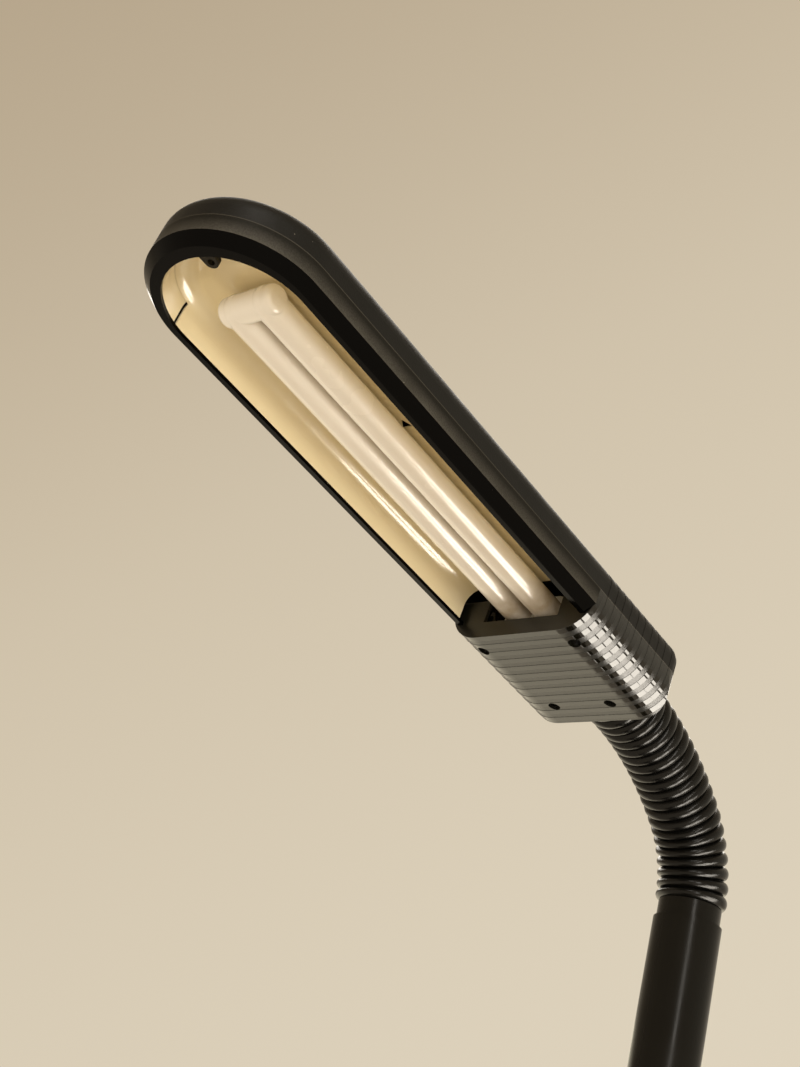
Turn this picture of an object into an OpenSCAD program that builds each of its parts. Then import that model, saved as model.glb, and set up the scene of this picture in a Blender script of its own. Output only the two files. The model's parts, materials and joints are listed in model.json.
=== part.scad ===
// Table lamp with a weighted base, a tube stem, a ribbed flexible neck and a long flat head
// that holds a twin-tube fluorescent lamp under a cream reflector.
// Millimetres, +Z up. The origin is the middle of the base's underside and the head points to +X.
// The head's pieces are drawn in the head's own frame: x runs from the housing's front edge to
// the tip, z is measured up from the plane of the shade's rim, and y = 0 is the plane of symmetry.

/* [Head] */
// Outer width of the head
head_w = 77; // [72:1:90]
// Length from the housing's front edge to the centre of the round tip
shade_l = 190; // [186:1:220]
// Length of the ribbed housing behind the shade
housing_l = 71; // [69:1:80]
// Height of the head's flat top above the rim
head_top = 26; // [25.5:0.5:32]
// Height of the parting line between the upper and lower mouldings
parting_z = 12; // [11.5:0.5:13]
// How far the housing hangs below the rim
housing_drop = 7.7; // [7:0.1:10]
// Wall of the head's mouldings
wall = 2; // [1.6:0.1:2.4]
// Radius along the top edge of the head
top_round = 8.5; // [7:0.5:9]
// Radius along the lower edges of the housing
housing_round = 17; // [12:0.5:18]
// Radius of the housing's rear corners seen from above
rear_round = 9.5; // [9:0.5:16]
// Flat width of the rim's lip
lip_w = 2.6; // [1.8:0.1:3]
// Thickness of the rim's lip
lip_t = 1.6; // [1.2:0.1:2]
// Width of the chamfer round the rim
chamfer_w = 4.2; // [3.6:0.1:5]
// Height of the chamfer round the rim
chamfer_h = 4.4; // [4:0.1:6]
// How far the round tip's outside lies ahead of the round end of its opening
tip_out = 2.4; // [0:0.1:3]
// Distance between the housing's raised bands
rib_pitch = 6; // [5:0.5:8]
// Height of the raised bands
rib_depth = 0.12; // [0.08:0.02:0.4]

/* [Reflector] */
// Thickness of the reflector sheet
sheet_t = 0.6; // [0.4:0.1:1]
// Height of the reflector's flat ceiling above the rim
ceiling_z = 17; // [16.5:0.5:19]
// Bend radius between the reflector's walls and its ceiling
sheet_round = 8; // [5:0.5:9]
// Half angle of the separate end flap
flap_angle = 76; // [60:1:82]

/* [Lamp] */
// Diameter of each glass tube
tube_d = 12.5; // [11.5:0.1:12.8]
// Gap between the two tubes
tube_gap = 3; // [2.5:0.1:4]
// Height of the tube axes above the rim
tube_z = 9; // [8.8:0.1:9.5]
// How far the tubes reach from the housing's front edge
tube_l = 195; // [185:1:197]
// Width of the lamp's moulded base
lamp_base_w = 32; // [31.8:0.1:34]
// Height of the lamp's moulded base
lamp_base_h = 16; // [15.6:0.1:17]
// Length of the lamp's moulded base
lamp_base_l = 22; // [20:0.5:24]
// Diameter of the two contact pins
pin_d = 2.4; // [2:0.1:2.8]
// Distance between the contact pins
pin_spacing = 23; // [22.5:0.1:24]
// Length of the contact pins
pin_l = 7; // [5:0.5:9]

/* [Neck] */
// Outer diameter of the ribbed sleeve
sleeve_d = 34.4; // [33.6:0.1:36]
// Depth of the grooves between the sleeve's ribs
groove_depth = 3.2; // [2:0.1:3.4]
// Distance from one rib of the sleeve to the next
sleeve_pitch = 6.3; // [5:0.1:8]
// Wall of the sleeve at the bottom of a groove
sleeve_wall = 1.6; // [1:0.1:2]
// Radius of the tight bend above the stem
low_bend_r = 50; // [46:1:70]
// Angle of the tight bend
low_bend = 50; // [40:1:56]
// Radius of the slow bend towards the head
high_bend_r = 140; // [120:1:160]
// Angle of the slow bend
high_bend = 32; // [24:1:34]
// Straight length of the neck at the head
neck_end = 11; // [8:0.5:16]
// Diameter of the balls in the neck's core
ball_d = 13; // [12.5:0.1:13.4]
// Clearance between each ball and its cup
ball_clear = 0.3; // [0.2:0.05:0.4]
// Wall of the cups
cup_wall = 1.7; // [1.4:0.1:2]
// Depth of each cup past the ball's centre
cup_lip = 2.4; // [2:0.1:2.6]
// Diameter of the shank between a cup and the next ball
shank_d = 7.6; // [7.2:0.1:8]
// Bore for the lead through the core
link_bore = 5; // [4.6:0.1:5.4]

/* [Stem] */
// Outer diameter of the stem tube
stem_d = 33; // [31:0.5:36]
// Wall of the stem tube
stem_wall = 1.2; // [1:0.1:1.6]
// Height of the stem's open end above the table
stem_top = 272; // [200:1:320]
// Length of the collar that shows above the stem
collar_show = 8.5; // [6:0.5:12]
// Length of the collar inside the stem
collar_grip = 24; // [16:1:40]

/* [Base] */
// Length of the base
base_l = 190; // [186:1:240]
// Width of the base
base_w = 124; // [122:1:160]
// Height of the base
base_h = 40; // [39:1:50]
// Radius of the base's corners seen from above
base_corner = 30; // [26:1:32]
// Radius along the base's top edge
base_edge = 12; // [6:0.5:14]
// Wall of the base moulding
base_wall = 2.5; // [2:0.1:3]
// Thickness of the rubber pad under the base
pad_t = 2; // [1.5:0.5:3]
// Thickness of the steel base plate
plate_t = 3; // [2.6:0.1:5]
// Distance of the stem behind the middle of the base
stem_back = 50; // [48:1:52]

/* [Switch] */
// Length of the rocker
rocker_l = 17; // [15:0.5:18]
// Width of the rocker
rocker_w = 10.5; // [9:0.5:11]
// Angle between the switch's two positions
rocker_throw = 16; // [10:1:20]
// Distance of the switch ahead of the middle of the base
switch_x = 42; // [38:1:46]

/* [Hidden] */
$fn = 96;

black = [0.08, 0.08, 0.075];
satin = [0.13, 0.13, 0.12];
cream = [0.91, 0.8, 0.6];
glass = [0.87, 0.79, 0.68];
steel = [0.6, 0.6, 0.62];
iron = [0.32, 0.32, 0.34];
brass = [0.75, 0.6, 0.3];
white = [0.9, 0.88, 0.82];
rubber = [0.05, 0.05, 0.05];
eps = 0.01;
seat_gap = 0.15;

// Head
half_w = head_w / 2;
tip_x = shade_l + tip_out;
lip_out = half_w - chamfer_w;
lip_in = lip_out - lip_w;
lap_gap = 0.1;
lap_t = 1.2;
lap_h = 2;
sheet_r = lip_in + 0.2;
sheet_rear = 2;
flap_gap = 1.5;
flap_curl = 0.5;
flap_r = sheet_r - flap_curl;
lug_w = 6;
lug_t = 2.5;
lug_z = 8.5;
lug_reach = 9.5;
lug_x = shade_l + lip_in - lug_reach;
lug_hole_d = 3;
slot_at = [109, 10.3];
slot_d = 6;
tube_y = (tube_d + tube_gap) / 2;
tube_sink = 13;
bridge_d = 12;
bridge_round = 2.5;
bridge_in = 0.1;
nose_w = 17;
nose_h = 11;
nose_l = 10.5;
plug_clear = 0.3;
pin_clear = 0.1;
pin_seat = 3;
lamp_front = -8;
lamp_back = lamp_front - lamp_base_l;
holder_front = lamp_back - plug_clear;
holder_l = 21;
holder_w = lamp_base_w + 4;
holder_h = lamp_base_h + 4;
screw_front = [-10.8, 24.5];
screw_rear = [-housing_l + 14, 15.2];
boss_d = 8;
screw_d = 3;
screw_clear = 0.1;
screw_head_d = 5;
screw_head_h = 2;
recess_d = 5.6;
recess_depth = 4;
mouth_w = lamp_base_w + 8;
mouth_low = 0.4;

// Neck path: a straight foot, the tight bend, the slow bend and a straight end
deg = 180 / PI;
head_tilt = 90 - low_bend - high_bend;
low_l = low_bend_r * low_bend / deg;
high_l = high_bend_r * high_bend / deg;
neck_l = low_l + high_l + neck_end;
function neck_angle(s) =
    s < 0 ? 0 :
    s < low_l ? s / low_bend_r * deg :
    s < low_l + high_l ? low_bend + (s - low_l) / high_bend_r * deg : low_bend + high_bend;
function low_at(a) = low_bend_r * [1 - cos(a), sin(a)];
function high_at(a) = low_at(low_bend) + high_bend_r * [cos(low_bend) - cos(a), sin(a) - sin(low_bend)];
function neck_at(s) =
    s < 0 ? [0, s] :
    s < low_l ? low_at(neck_angle(s)) :
    s < low_l + high_l ? high_at(neck_angle(s)) :
    high_at(low_bend + high_bend)
        + (s - low_l - high_l) * [sin(low_bend + high_bend), cos(low_bend + high_bend)];
stem_x = -stem_back;
collar_top = stem_top + collar_show;
function in_row(p) = [stem_x + p[0], 0, collar_top + p[1]];
function neck_point(s) = in_row(neck_at(s));
function neck_in(s) = [cos(neck_angle(s)), 0, -sin(neck_angle(s))];

// Head placement: the neck's end meets the housing's rear face on the parting plane
rear_x = -housing_l;
neck_tip = neck_point(neck_l);
head_at = neck_tip - [
    rear_x * cos(head_tilt) - parting_z * sin(head_tilt), 0,
    rear_x * sin(head_tilt) + parting_z * cos(head_tilt)];

// Core of the neck: balls on the path, the first on the collar, the last in the head's socket
hinges = 8;
first_hinge = 9;
last_hinge = neck_l - 10;
hinge_step = (last_hinge - first_hinge) / (hinges - 1);
hinge_points = [for (k = [0 : hinges - 1]) neck_point(first_hinge + k * hinge_step)];
ball_r = ball_d / 2;
cup_r = ball_r + ball_clear;
cup_out = cup_r + cup_wall;
flare_angle = 28;
socket_flange_d = 22;
socket_flange_t = 2;
socket_d = 13;
socket_in = 9;
nut_d = 19;
nut_h = 4;
thread_gap = 0.05;
pad_r = nut_d / 2 + 0.5;
pad_h = 1.2;

// Ribbed sleeve: its radius swells from a groove to a round crest and back along each rib
crest_r = sleeve_d / 2;
root_r = crest_r - groove_depth;
sleeve_sides = 16;
rings_per_rib = 4;
sleeve_ribs = round(neck_l / sleeve_pitch);
sleeve_rings = sleeve_ribs * rings_per_rib;
sleeve_l = neck_l - 2 * seat_gap;
function swell(p) = sqrt(1 - pow(2 * p - 1, 2));
function sleeve_r(i) = root_r + groove_depth * swell((i % rings_per_rib) / rings_per_rib);

// Stem
stem_bore = stem_d - 2 * stem_wall;
collar_d = stem_bore - 0.2;
collar_bore = 18;
collar_cap = 5;
plate_top = pad_t + plate_t;
flange_rim = 13.5;
flange_d = stem_d + 2 * flange_rim;
flange_t = 4;
hub_wall = 4;
hub_d = stem_d + 2 * hub_wall;
hub_h = 12;
flange_screw_r = (hub_d + flange_d) / 4;
lead_hole_d = 10;
lead_hole_z = plate_top + flange_t + hub_h + 4.5;

// Base
base_inset = 3;
base_screw_in = 15;
base_screw_at = [base_l / 2 - base_screw_in, base_w / 2 - base_screw_in];
base_screw_l = 14;
base_boss_d = 10;
base_screw_d = 3.5;
base_head_d = 6.8;
base_head_h = 1.9;
shell_top_in = base_h - base_wall;
bush_rim = 5.5;
bush_d = stem_d + 2 * bush_rim;
bush_h = 4;
bush_gap = 0.1;
inlet_d = 12;
inlet_bore = 7.2;
inlet_flange_d = 16;
inlet_flange_t = 2;
inlet_l = 9;
inlet_z = 18;
terminal_size = [24, 12, 12];
terminal_x = -5;
block_gap = 3;
block_from_side = 17;
block_in = terminal_size[1] / 2 + block_gap;
block_w = base_w / 2 - block_from_side - block_in;
block_at = [28, block_in + block_w / 2];
choke_size = [80, block_w, 27];
choke_foot = [92, block_w, 2];
weight_size = [92, block_w, 25];

// Switch
pivot_d = 2;
pivot_gap = 0.05;
pocket_gap = 0.3;
pocket_deep = 6;
cheek = 0.9;
bezel_lip = 1.6;
bezel_t = 1.8;
switch_deep = 14;
rocker_dish = 1.1;
rocker_low = 3;
rocker_high = 5.2;
pocket_l = rocker_l + 2 * pocket_gap;
pocket_w = rocker_w + 2 * pocket_gap;
switch_l = pocket_l + 2 * cheek;
switch_w = pocket_w + 2 * cheek;
pivot_z = base_h + 0.4;

// Lead inside the stem and the neck
lead_d = 4;
lead_turn = 18;
lead_low = [
    [terminal_x, 0, plate_top + terminal_size[2] + seat_gap],
    [terminal_x, 0, plate_top + terminal_size[2] + 3],
    [terminal_x - 6, 0, lead_hole_z],
    [stem_x + 14, 0, lead_hole_z],
    [stem_x + 3, 0, lead_hole_z + 5],
    [stem_x, 0, lead_hole_z + lead_turn],
    [stem_x, 0, collar_top - collar_grip - collar_show - 10],
    [hinge_points[0][0], 0, collar_top - collar_cap]];
lead_end = neck_point(neck_l + housing_l + holder_front - holder_l);

// Shared shapes

// Places a piece that is drawn in the head's own frame
module in_head() {
    translate(head_at) rotate([0, -head_tilt, 0]) children();
}

// Extrudes an outline drawn in y and z from x0 to x1
module run(x0, x1) {
    translate([x0, 0, 0]) rotate([90, 0, 90]) linear_extrude(x1 - x0) children();
}

// Adds the mirror image of half an outline
module both() {
    children();
    mirror([1, 0]) children();
}

// Half an outline with one rounded upper corner
module round_half(w, top, r, low) {
    translate([0, low]) square([w, top - r - low]);
    translate([0, low]) square([w - r, top - low]);
    translate([w - r, top - r]) intersection() {
        circle(r);
        square(r);
    }
}

// A slab with rounded corners in plan and a rounded top edge
module slab(l, w, low, top, corner, edge) {
    for (sx = [-1, 1], sy = [-1, 1])
        translate([sx * (l / 2 - corner), sy * (w / 2 - corner), 0])
            rotate_extrude() round_half(corner, top, edge, low);
    run(-l / 2 + corner, l / 2 - corner) both() round_half(w / 2, top, edge, low);
    rotate([0, 0, 90])
        run(-w / 2 + corner, w / 2 - corner) both() round_half(l / 2, top, edge, low);
}

// A rectangle with rounded corners
module round_rect(l, w, r) {
    square([l - 2 * r, w], center = true);
    square([l, w - 2 * r], center = true);
    for (sx = [-1, 1], sy = [-1, 1])
        translate([sx * (l / 2 - r), sy * (w / 2 - r)]) circle(r);
}

// Turns +Z to the direction d, which lies in the plane of symmetry
module aim(p, d) {
    translate(p) rotate([0, atan2(d[0], d[2]), 0]) children();
}

// Triangles between each ring of n points and the next, for count rings
function ring_faces(n, count, loop) = [
    for (i = [0 : count - (loop ? 1 : 2)])
    for (k = [0 : n - 1])
    let (a = i * n + k, b = i * n + (k + 1) % n, up = i + 1 < count ? n : -i * n)
    each [[a, a + up, b], [b, a + up, b + up]]];

// A solid bar along rings of points, closed at both ends
module swept(rings) {
    n = len(rings[0]);
    top = (len(rings) - 1) * n;
    ends = [for (k = [1 : n - 2]) each [[0, k, k + 1], [top, top + k + 1, top + k]]];
    polyhedron([for (ring = rings) each ring], concat(ring_faces(n, len(rings), false), ends));
}

// A hollow body whose last ring of points joins its first
module looped(rings) {
    polyhedron([for (ring = rings) each ring], ring_faces(len(rings[0]), len(rings), true));
}

function unit(v) = v / norm(v);
function ring_at(p, u, v, r, n) =
    [for (k = [0 : n - 1]) p + r * (cos(360 * k / n) * u + sin(360 * k / n) * v)];

// Head solids

// The upper moulding's outer form, drawn in by inset and open below at low
module crown(inset, low) {
    top = head_top - inset;
    edge = top_round - inset;
    corner = rear_round - inset;
    translate([tip_x, 0, 0]) rotate_extrude() round_half(half_w - inset, top, edge, low);
    run(rear_x + rear_round, tip_x) both() round_half(half_w - inset, top, edge, low);
    for (side = [-1, 1])
        translate([rear_x + rear_round, side * (half_w - rear_round), 0])
            rotate_extrude() round_half(corner, top, edge, low);
    rotate([0, 0, 90])
        run(rear_round - half_w, half_w - rear_round)
            translate([-rear_x - rear_round, 0]) round_half(corner, top, edge, low);
}

// The housing's lower form, drawn in by inset, from its rear face to front
module tub(inset, front) {
    w = half_w - inset;
    low = inset - housing_drop;
    r = housing_round - inset;
    corner = rear_round - inset;
    rear = rear_x + inset;
    intersection() {
        run(rear, front) both() intersection() {
            translate([0, low]) square([w, parting_z - low]);
            union() {
                translate([0, low + r]) square([w, parting_z - low]);
                translate([0, low]) square([w - r, r]);
                translate([w - r, low + r]) circle(r);
            }
        }
        translate([0, 0, low]) linear_extrude(parting_z - low) {
            translate([rear + corner, -w]) square([front - rear - corner, 2 * w]);
            translate([rear, -w + corner]) square([corner, 2 * (w - corner)]);
            for (side = [-1, 1]) translate([rear + corner, side * (w - corner)]) circle(corner);
        }
    }
}

// The raised bands across the housing, with everything ahead of it
module bands() {
    reach = head_w + 10;
    for (x = [-rib_pitch / 2 : -rib_pitch : rear_x - rib_pitch])
        translate([x, -reach / 2, -reach / 2]) cube([rib_pitch / 2, reach, reach]);
    translate([0, -reach / 2, -reach / 2]) cube([shade_l + head_w, reach, reach]);
}

// Sheet of the reflector, half of its section
module sheet_half(from) {
    difference() {
        round_half(sheet_r + sheet_t, ceiling_z + sheet_t, sheet_round + sheet_t, lip_t);
        round_half(sheet_r, ceiling_z, sheet_round, lip_t - 1);
        if (from > 0) translate([0, lip_t]) square([from, ceiling_z]);
    }
}

// Drilled post for one of the four housing screws
module post(at, low, high) {
    translate([at[0], at[1], low]) cylinder(d = boss_d, h = high - low);
}

module at_screws() {
    for (at = [screw_front, screw_rear], side = [-1, 1]) translate([at[0], side * at[1], 0]) children();
}

// The lamp base's plug, grown by gap on all sides
module plug(gap) {
    translate([lamp_back - nose_l - gap, -nose_w / 2 - gap, tube_z - nose_h / 2 - gap])
        cube([nose_l + gap + eps, nose_w + 2 * gap, nose_h + 2 * gap]);
}

module pins(gap) {
    for (side = [-1, 1])
        translate([lamp_back - pin_l - gap, side * pin_spacing / 2, tube_z])
            rotate([0, 90, 0]) cylinder(d = pin_d + 2 * gap, h = pin_l + gap);
}

// Base pieces

module foot_pad() {
    color(rubber)
        linear_extrude(pad_t)
            round_rect(base_l - 2 * base_inset, base_w - 2 * base_inset, base_corner - base_inset);
}

module at_base_screws() {
    for (sx = [-1, 1], sy = [-1, 1]) translate([sx * base_screw_at[0], sy * base_screw_at[1], 0]) children();
}

module at_flange_screws() {
    for (a = [60, 180, 300])
        translate([stem_x + flange_screw_r * cos(a), flange_screw_r * sin(a), 0]) children();
}

module base_plate() {
    inset = base_wall + 0.2;
    color(steel) difference() {
        translate([0, 0, pad_t])
            linear_extrude(plate_t) round_rect(base_l - 2 * inset, base_w - 2 * inset, base_corner - inset);
        at_base_screws() {
            cylinder(d = base_screw_d + screw_clear, h = plate_top + 1);
            cylinder(d = base_head_d + screw_clear, h = pad_t + base_head_h);
        }
        at_flange_screws() cylinder(d = screw_d + screw_clear, h = plate_top + 1);
    }
}

module base_screws() {
    color(steel) at_base_screws() {
        translate([0, 0, pad_t]) cylinder(d = base_head_d, h = base_head_h);
        translate([0, 0, pad_t]) cylinder(d = base_screw_d, h = plate_t + base_screw_l);
    }
}

module base_shell() {
    color(black) difference() {
        union() {
            difference() {
                slab(base_l, base_w, pad_t, base_h, base_corner, base_edge);
                slab(base_l - 2 * base_wall, base_w - 2 * base_wall, pad_t - 1, shell_top_in,
                     base_corner - base_wall, base_edge - base_wall);
            }
            at_base_screws()
                translate([0, 0, plate_top]) cylinder(d = base_boss_d, h = shell_top_in + eps - plate_top);
        }
        at_base_screws()
            translate([0, 0, plate_top - 1]) cylinder(d = base_screw_d + screw_clear, h = base_screw_l + 2);
        translate([stem_x, 0, shell_top_in - 1]) cylinder(d = stem_d + 2, h = base_wall + 2);
        translate([switch_x - switch_l / 2 - 0.1, -switch_w / 2 - 0.1, shell_top_in - 1])
            cube([switch_l + 0.2, switch_w + 0.2, base_wall + 2]);
        translate([-base_l / 2 - 1, 0, inlet_z]) rotate([0, 90, 0])
            cylinder(d = inlet_d + 0.1, h = base_wall + 2);
    }
}

module choke() {
    at = [block_at[0], -block_at[1], plate_top];
    color(iron) translate(at) {
        translate([-choke_foot[0] / 2, -choke_foot[1] / 2, 0]) cube(choke_foot);
        translate([-choke_size[0] / 2, -choke_size[1] / 2, 0]) cube(choke_size);
    }
}

module counterweight() {
    at = [block_at[0], block_at[1], plate_top];
    color(iron) translate(at) linear_extrude(weight_size[2]) round_rect(weight_size[0], weight_size[1], 5);
}

module terminal_block() {
    color(white)
        translate([terminal_x - terminal_size[0] / 2, -terminal_size[1] / 2, plate_top]) cube(terminal_size);
}

module cord_inlet() {
    color(rubber)
        translate([-base_l / 2 - inlet_flange_t, 0, inlet_z]) rotate([0, 90, 0]) difference() {
            union() {
                cylinder(d = inlet_flange_d, h = inlet_flange_t);
                cylinder(d = inlet_d, h = inlet_l);
            }
            translate([0, 0, -1]) cylinder(d = inlet_bore, h = inlet_l + 2);
        }
}

module switch_body() {
    color(black) translate([switch_x, 0, 0]) difference() {
        union() {
            translate([0, 0, base_h])
                linear_extrude(bezel_t) round_rect(switch_l + 2 * bezel_lip, switch_w + 2 * bezel_lip, 1.5);
            translate([-switch_l / 2, -switch_w / 2, base_h - switch_deep])
                cube([switch_l, switch_w, switch_deep]);
        }
        translate([-pocket_l / 2, -pocket_w / 2, pivot_z - pocket_deep])
            cube([pocket_l, pocket_w, pocket_deep + bezel_t + 1]);
        translate([0, switch_w / 2 + 5, pivot_z])
            rotate([90, 0, 0]) cylinder(d = pivot_d + 2 * pivot_gap, h = switch_w + 10);
    }
}

// Rocker with dished top and round ends about its pivot, resting in the off position
module switch_rocker() {
    r = rocker_l / 2;
    color(satin)
        translate([switch_x, 0, pivot_z]) rotate([90, -rocker_throw / 2, 0]) {
            linear_extrude(rocker_w, center = true) intersection() {
                circle(r);
                polygon([[-r, -rocker_low], [r, -rocker_low], [r, rocker_high],
                         [0, rocker_high - rocker_dish], [-r, rocker_high]]);
            }
            cylinder(d = pivot_d, h = switch_w - 0.4, center = true);
        }
}

// Stem pieces

module stem_flange() {
    color(steel) translate([stem_x, 0, plate_top]) difference() {
        union() {
            cylinder(d = flange_d, h = flange_t);
            cylinder(d = hub_d, h = flange_t + hub_h);
        }
        translate([0, 0, -1]) cylinder(d = stem_d + 2 * thread_gap, h = flange_t + hub_h + 2);
        translate([-stem_x, 0, -plate_top - 1]) at_flange_screws()
            cylinder(d = screw_d + screw_clear, h = plate_top + flange_t + 2);
    }
}

module flange_screws() {
    color(steel) at_flange_screws() {
        translate([0, 0, pad_t]) cylinder(d = screw_d, h = plate_t + flange_t + screw_head_h);
        translate([0, 0, plate_top + flange_t]) cylinder(d = screw_head_d, h = screw_head_h);
    }
}

module stem_bush() {
    r = bush_d / 2;
    color(black) translate([stem_x, 0, base_h]) difference() {
        rotate_extrude() round_half(r, bush_h, bush_h * 0.6, 0);
        translate([0, 0, -1]) cylinder(d = stem_d + 2 * bush_gap, h = bush_h + 2);
    }
}

module stem_tube() {
    color(satin) translate([stem_x, 0, plate_top]) difference() {
        cylinder(d = stem_d, h = stem_top - plate_top);
        translate([0, 0, -1]) cylinder(d = stem_bore, h = stem_top);
        translate([0, 0, lead_hole_z - plate_top]) rotate([0, 90, 0]) cylinder(d = lead_hole_d, h = stem_d);
    }
}

// Neck pieces

// A ball at the end of a shank that starts at height from
module ball_end(from) {
    translate([0, 0, from]) cylinder(d = shank_d, h = -from);
    sphere(r = ball_r);
}

// Bore through a ball and its shank, flared where the lead bends
module ball_bore(from) {
    translate([0, 0, from]) cylinder(d = link_bore, h = -from + eps);
    cylinder(d1 = link_bore, d2 = link_bore + 2 * (ball_r + 1) * tan(flare_angle), h = ball_r + 1);
}

// A cup round the origin, closed towards +Z
module cup() {
    intersection() {
        sphere(r = cup_out);
        translate([0, 0, -cup_lip]) cylinder(r = cup_out + 1, h = cup_out + cup_lip + 1);
    }
}

module neck_collar() {
    low = collar_top - collar_show - collar_grip;
    shank = hinge_points[0][2] - collar_top + collar_cap;
    color(satin) difference() {
        union() {
            translate([stem_x, 0, low]) cylinder(d = collar_d, h = collar_top - low);
            translate(hinge_points[0]) ball_end(1 - shank);
        }
        translate([stem_x, 0, low - 1]) cylinder(d = collar_bore, h = collar_top - low + 1 - collar_cap);
        translate(hinge_points[0]) ball_bore(-shank - 1);
    }
}

// One link of the core, from the cup round ball k to its own ball
module neck_link(k) {
    step = hinge_points[k] - hinge_points[k - 1];
    l = norm(step);
    color(iron) aim(hinge_points[k - 1], step) difference() {
        union() {
            cup();
            translate([0, 0, l]) ball_end(-l);
        }
        sphere(r = cup_r);
        translate([0, 0, l]) ball_bore(-l - 1);
    }
}

// Ribbed sleeve over the core, from the collar to the housing: up its outside and back down its bore
module neck_sleeve() {
    function ring(part, r) =
        let (s = seat_gap + part * sleeve_l) ring_at(neck_point(s), neck_in(s), [0, 1, 0], r, sleeve_sides);
    outside = [for (i = [0 : sleeve_rings]) ring(i / sleeve_rings, sleeve_r(i))];
    bore = [for (i = [sleeve_ribs : -1 : 0]) ring(i / sleeve_ribs, root_r - sleeve_wall)];
    color(black) looped(concat(outside, bore));
}

// Two-core lead from the terminal block through the stem and the core to the lamp holder
module lamp_lead() {
    line = concat(lead_low, hinge_points, [lead_end]);
    last = len(line) - 1;
    color(white) swept([
        for (i = [0 : last])
        let (
            along = unit(line[min(i + 1, last)] - line[max(i - 1, 0)]),
            u = cross([0, 1, 0], along))
        ring_at(line[i], [0, 1, 0], -u, lead_d / 2, 8)]);
}

// Head pieces

// Cup for the last ball, with a flange outside the housing and a threaded end inside
module neck_socket() {
    color(steel) in_head() translate([rear_x, 0, parting_z]) rotate([0, 90, 0]) difference() {
        union() {
            translate([0, 0, last_hinge - neck_l]) cup();
            translate([0, 0, -socket_flange_t]) cylinder(d = socket_flange_d, h = socket_flange_t);
            translate([0, 0, last_hinge - neck_l + cup_lip])
                cylinder(d = socket_d, h = neck_l - last_hinge - cup_lip + socket_in);
        }
        translate([0, 0, last_hinge - neck_l]) sphere(r = cup_r);
        translate([0, 0, last_hinge - neck_l]) cylinder(d = link_bore + 2, h = neck_l);
    }
}

module socket_nut() {
    color(steel) in_head()
        translate([rear_x + wall + pad_h + seat_gap, 0, parting_z]) rotate([0, 90, 0]) difference() {
            rotate([0, 0, 30]) cylinder(d = nut_d, h = nut_h, $fn = 6);
            translate([0, 0, -1]) cylinder(d = socket_d + 2 * thread_gap, h = nut_h + 2);
        }
}

// Hole for the neck's socket and the flat pad round it for the nut, half in each moulding
module socket_hole() {
    translate([rear_x - 1, 0, parting_z]) rotate([0, 90, 0])
        cylinder(d = socket_d + 2 * thread_gap, h = wall + pad_h + 2);
}

module half_pad(turn) {
    translate([rear_x + wall - eps, 0, parting_z]) rotate([0, 90, 0]) rotate([0, 0, turn])
        rotate_extrude(angle = 180) square([pad_r, pad_h + eps]);
}

module top_shell() {
    color(black) in_head() difference() {
        union() {
            difference() {
                union() {
                    crown(rib_depth, parting_z);
                    intersection() {
                        crown(0, parting_z);
                        bands();
                    }
                }
                crown(wall, parting_z - 1);
            }
            for (at = [screw_front, screw_rear], side = [-1, 1])
                post([at[0], side * at[1]], parting_z, head_top - wall + eps);
            half_pad(90);
        }
        socket_hole();
        at_screws() translate([0, 0, parting_z - 1]) cylinder(d = screw_d + screw_clear, h = 11);
    }
}

// Rim of the shade: lip, chamfer and wall round three sides of the opening, lapped into the shell
module rim_half() {
    inner = half_w - wall - lap_gap;
    thick = inner - lap_t;
    polygon([
        [lip_in, 0], [lip_out, 0], [half_w, chamfer_h], [half_w, parting_z], [inner, parting_z],
        [inner, parting_z + lap_h], [thick, parting_z + lap_h], [thick, chamfer_h],
        [lip_out - lip_t / 2, lip_t], [lip_in, lip_t]]);
}

// The lip's extra width round the tip, between the opening's round end and the rim's
module tip_lip() {
    linear_extrude(lip_t) difference() {
        translate([tip_x, 0]) circle(lip_out);
        translate([shade_l, 0]) circle(lip_in);
        translate([shade_l - head_w, -head_w / 2]) square([head_w, head_w]);
    }
}

// Tab behind the tip with a screw hole, drawn from the rim's wall
module lug() {
    translate([lug_x, 0, lug_z]) difference() {
        union() {
            cylinder(d = lug_w, h = lug_t);
            translate([0, -lug_w / 2, 0]) cube([tip_x + half_w - wall - lug_x, lug_w, lug_t]);
        }
        translate([0, 0, -1]) cylinder(d = lug_hole_d, h = lug_t + 2);
    }
}

module shade_rim() {
    color(satin) in_head() {
        run(0, tip_x) both() rim_half();
        translate([tip_x, 0, 0]) rotate([0, 0, -90]) rotate_extrude(angle = 180) rim_half();
        tip_lip();
        lug();
    }
}

module bottom_cover() {
    seat = recess_depth + screw_head_h - housing_drop;
    color(satin) in_head() difference() {
        union() {
            difference() {
                union() {
                    tub(rib_depth, 0);
                    intersection() {
                        tub(0, 0);
                        bands();
                    }
                }
                translate([0, 0, eps]) tub(wall, -wall);
                translate([-wall - 1, -mouth_w / 2, mouth_low]) cube([wall + 2, mouth_w, parting_z]);
            }
            for (at = [screw_front, screw_rear], side = [-1, 1])
                post([at[0], side * at[1]], wall - housing_drop - eps, parting_z);
            half_pad(-90);
        }
        socket_hole();
        at_screws() {
            translate([0, 0, -housing_drop - 1])
                cylinder(d = screw_d + screw_clear, h = parting_z + housing_drop + 2);
            translate([0, 0, -housing_drop - 1]) cylinder(d = recess_d, h = seat + housing_drop + 1);
        }
    }
}

module cover_screws() {
    seat = recess_depth + screw_head_h - housing_drop;
    color(steel) in_head() at_screws() {
        translate([0, 0, seat - screw_head_h]) cylinder(d = screw_head_d, h = screw_head_h);
        translate([0, 0, seat - screw_head_h]) cylinder(d = screw_d, h = parting_z + 9 - seat);
    }
}

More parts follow.
